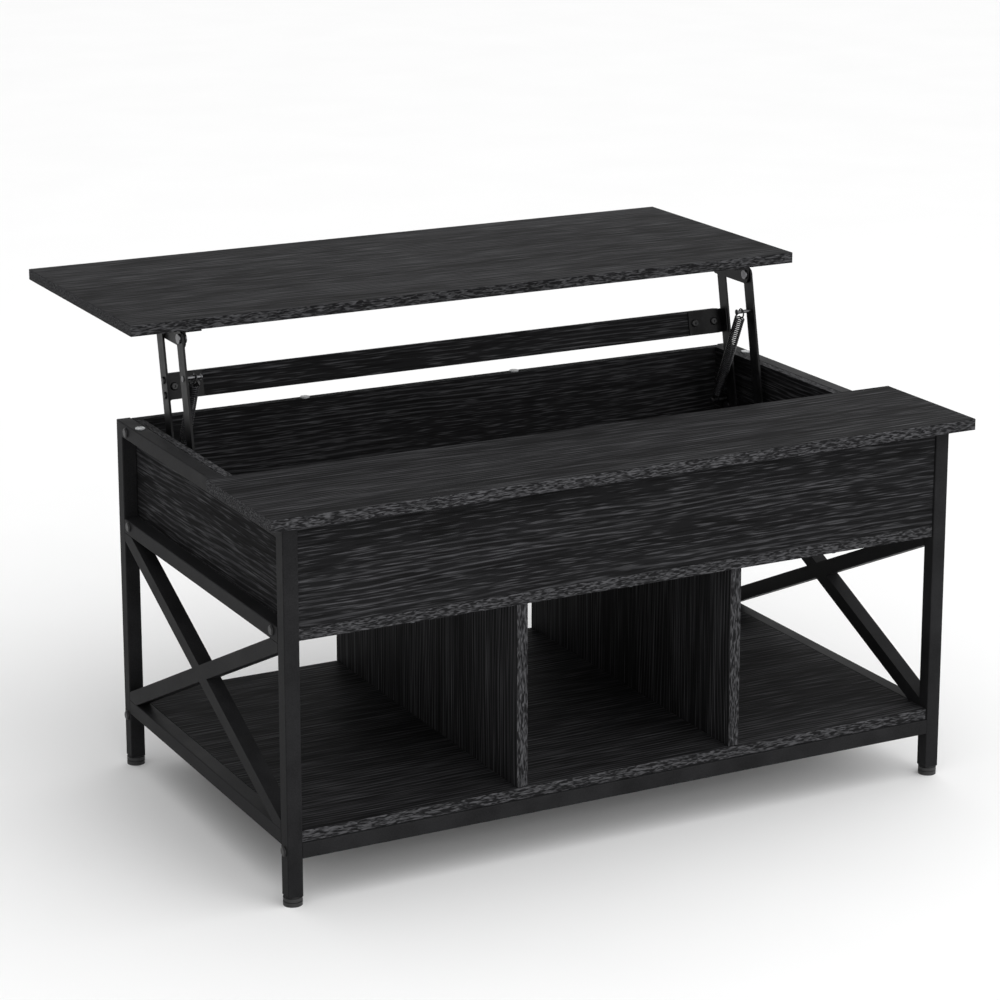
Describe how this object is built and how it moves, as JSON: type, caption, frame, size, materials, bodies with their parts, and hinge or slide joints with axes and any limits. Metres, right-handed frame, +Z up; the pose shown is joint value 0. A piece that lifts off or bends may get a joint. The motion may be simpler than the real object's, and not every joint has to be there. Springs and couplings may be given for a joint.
{
  "type": "lift top coffee table",
  "caption": "Rectangular coffee table with a square-tube frame and crossed side braces, a divided lower shelf, a storage box and a lid that lifts level on parallel arms.",
  "frame": {"origin": "on the floor, midway along X and midway in Y between the fixed strip's front edge and the raised lid's back edge", "axes": "+X along the table's length, +Y towards the side the lid rises to, +Z up; at rest the lid is raised"},
  "size_m": [1, 0.8376, 0.6378],
  "materials": {
    "frame_steel": "matt black powder coat on welded square tube",
    "black_board": "particle board in black laminate with an embossed wood grain",
    "mechanism_steel": "satin black painted steel",
    "rivets": "plain steel rivets",
    "black_bolts": "black oxide bolt heads",
    "zinc_screws": "zinc plated wood screws",
    "spring_wire": "oiled dark spring wire",
    "black_plastic": "moulded black plastic",
    "clear_bumper": "translucent soft bumper"
  },
  "bodies": {
    "base": {"base_bracket_left": "mechanism_steel", "base_bracket_right": "mechanism_steel", "base_bracket_screws": "zinc_screws", "base_rivets": "rivets", "box_back_panel": "black_board", "box_floor": "black_board", "box_front_panel": "black_board", "box_side_left": "black_board", "box_side_right": "black_board", "brace_falling_lower_left": "frame_steel", "brace_falling_lower_right": "frame_steel", "brace_falling_upper_left": "frame_steel", "brace_falling_upper_right": "frame_steel", "brace_rising_left": "frame_steel", "brace_rising_right": "frame_steel", "bumpers": "clear_bumper", "divider_left": "black_board", "divider_right": "black_board", "fixed_strip": "black_board", "frame_bolts": "black_bolts", "leg_back_left": "frame_steel", "leg_back_right": "frame_steel", "leg_front_left": "frame_steel", "leg_front_right": "frame_steel", "long_rail_back": "frame_steel", "long_rail_front": "frame_steel", "long_screws": "zinc_screws", "shelf_board": "black_board", "side_low_rail_left": "frame_steel", "side_low_rail_right": "frame_steel", "side_mid_rail_left": "frame_steel", "side_mid_rail_right": "frame_steel", "side_top_rail_left": "frame_steel", "side_top_rail_right": "frame_steel", "spring_anchors": "rivets", "tube_inserts": "black_plastic"},
    "rear_arms": {"arm_bolts": "black_bolts", "crossbar": "black_board", "crossbar_bolts": "black_bolts", "crossbar_bracket_left": "mechanism_steel", "crossbar_bracket_right": "mechanism_steel", "rear_arm_left": "mechanism_steel", "rear_arm_right": "mechanism_steel"},
    "front_arm_left": {"front_arm_left": "mechanism_steel", "spring_pin_left": "rivets"},
    "front_arm_right": {"front_arm_right": "mechanism_steel", "spring_pin_right": "rivets"},
    "lid": {"lid_top": "black_board", "top_bracket_left": "mechanism_steel", "top_bracket_right": "mechanism_steel", "top_bracket_screws": "zinc_screws", "top_pivot_pins": "rivets"},
    "foot_back_left": {"foot_back_left": "black_plastic"},
    "foot_back_right": {"foot_back_right": "black_plastic"},
    "foot_front_left": {"foot_front_left": "black_plastic"},
    "foot_front_right": {"foot_front_right": "black_plastic"},
    "lift_spring_left": {"lift_spring_left": "spring_wire"},
    "lift_spring_right": {"lift_spring_right": "spring_wire"},
    "spring_eye_left": {"spring_eye_left": "spring_wire"},
    "spring_eye_right": {"spring_eye_right": "spring_wire"}
  },
  "joints": [
    {"name": "rear_arms_swing", "type": "hinge", "parent": "base", "child": "rear_arms", "pos_m": [0, 0.06316, 0.40376], "axis": [1, 0, 0], "range_deg": [0, 82.2]},
    {"name": "front_arm_left_swing", "type": "hinge", "parent": "base", "child": "front_arm_left", "pos_m": [-0.43, -0.00884, 0.40376], "axis": [1, 0, 0], "range_deg": [0, 82.2]},
    {"name": "front_arm_right_swing", "type": "hinge", "parent": "base", "child": "front_arm_right", "pos_m": [0.43, -0.00884, 0.40376], "axis": [1, 0, 0], "range_deg": [0, 82.2]},
    {"name": "lid_swing", "type": "hinge", "parent": "rear_arms", "child": "lid", "pos_m": [0, 0.10434, 0.61178], "axis": [1, 0, 0], "range_deg": [-82.2, 0]},
    {"name": "lift_spring_left_turn", "type": "hinge", "parent": "base", "child": "lift_spring_left", "pos_m": [-0.4145, 0.08716, 0.41776], "axis": [1, 0, 0], "range_deg": [0, 56.83], "deforming": ["lift_spring_left"]},
    {"name": "lift_spring_left_stretch", "type": "slide", "parent": "lift_spring_left", "child": "spring_eye_left", "axis": [0, -0.4133, 0.9106], "range_m": [0, 0.0932], "deforming": ["spring_eye_left"]},
    {"name": "lift_spring_right_turn", "type": "hinge", "parent": "base", "child": "lift_spring_right", "pos_m": [0.4145, 0.08716, 0.41776], "axis": [1, 0, 0], "range_deg": [0, 56.83], "deforming": ["lift_spring_right"]},
    {"name": "lift_spring_right_stretch", "type": "slide", "parent": "lift_spring_right", "child": "spring_eye_right", "axis": [0, -0.4133, 0.9106], "range_m": [0, 0.0932], "deforming": ["spring_eye_right"]},
    {"name": "foot_back_left_screw", "type": "slide", "parent": "base", "child": "foot_back_left", "axis": [0, 0, -1], "range_m": [0, 0.008]},
    {"name": "foot_back_right_screw", "type": "slide", "parent": "base", "child": "foot_back_right", "axis": [0, 0, -1], "range_m": [0, 0.008]},
    {"name": "foot_front_left_screw", "type": "slide", "parent": "base", "child": "foot_front_left", "axis": [0, 0, -1], "range_m": [0, 0.008]},
    {"name": "foot_front_right_screw", "type": "slide", "parent": "base", "child": "foot_front_right", "axis": [0, 0, -1], "range_m": [0, 0.008]}
  ],
  "couplings": [
    {"joint": "front_arm_left_swing", "follows": "rear_arms_swing", "ratio": 1},
    {"joint": "front_arm_right_swing", "follows": "rear_arms_swing", "ratio": 1},
    {"joint": "lid_swing", "follows": "rear_arms_swing", "ratio": -1},
    {"joint": "lift_spring_left_turn", "follows": "rear_arms_swing", "ratio": 0.69132},
    {"joint": "lift_spring_left_stretch", "follows": "rear_arms_swing", "m_per_rad": 0.064966},
    {"joint": "lift_spring_right_turn", "follows": "rear_arms_swing", "ratio": 0.69132},
    {"joint": "lift_spring_right_stretch", "follows": "rear_arms_swing", "m_per_rad": 0.064966}
  ]
}
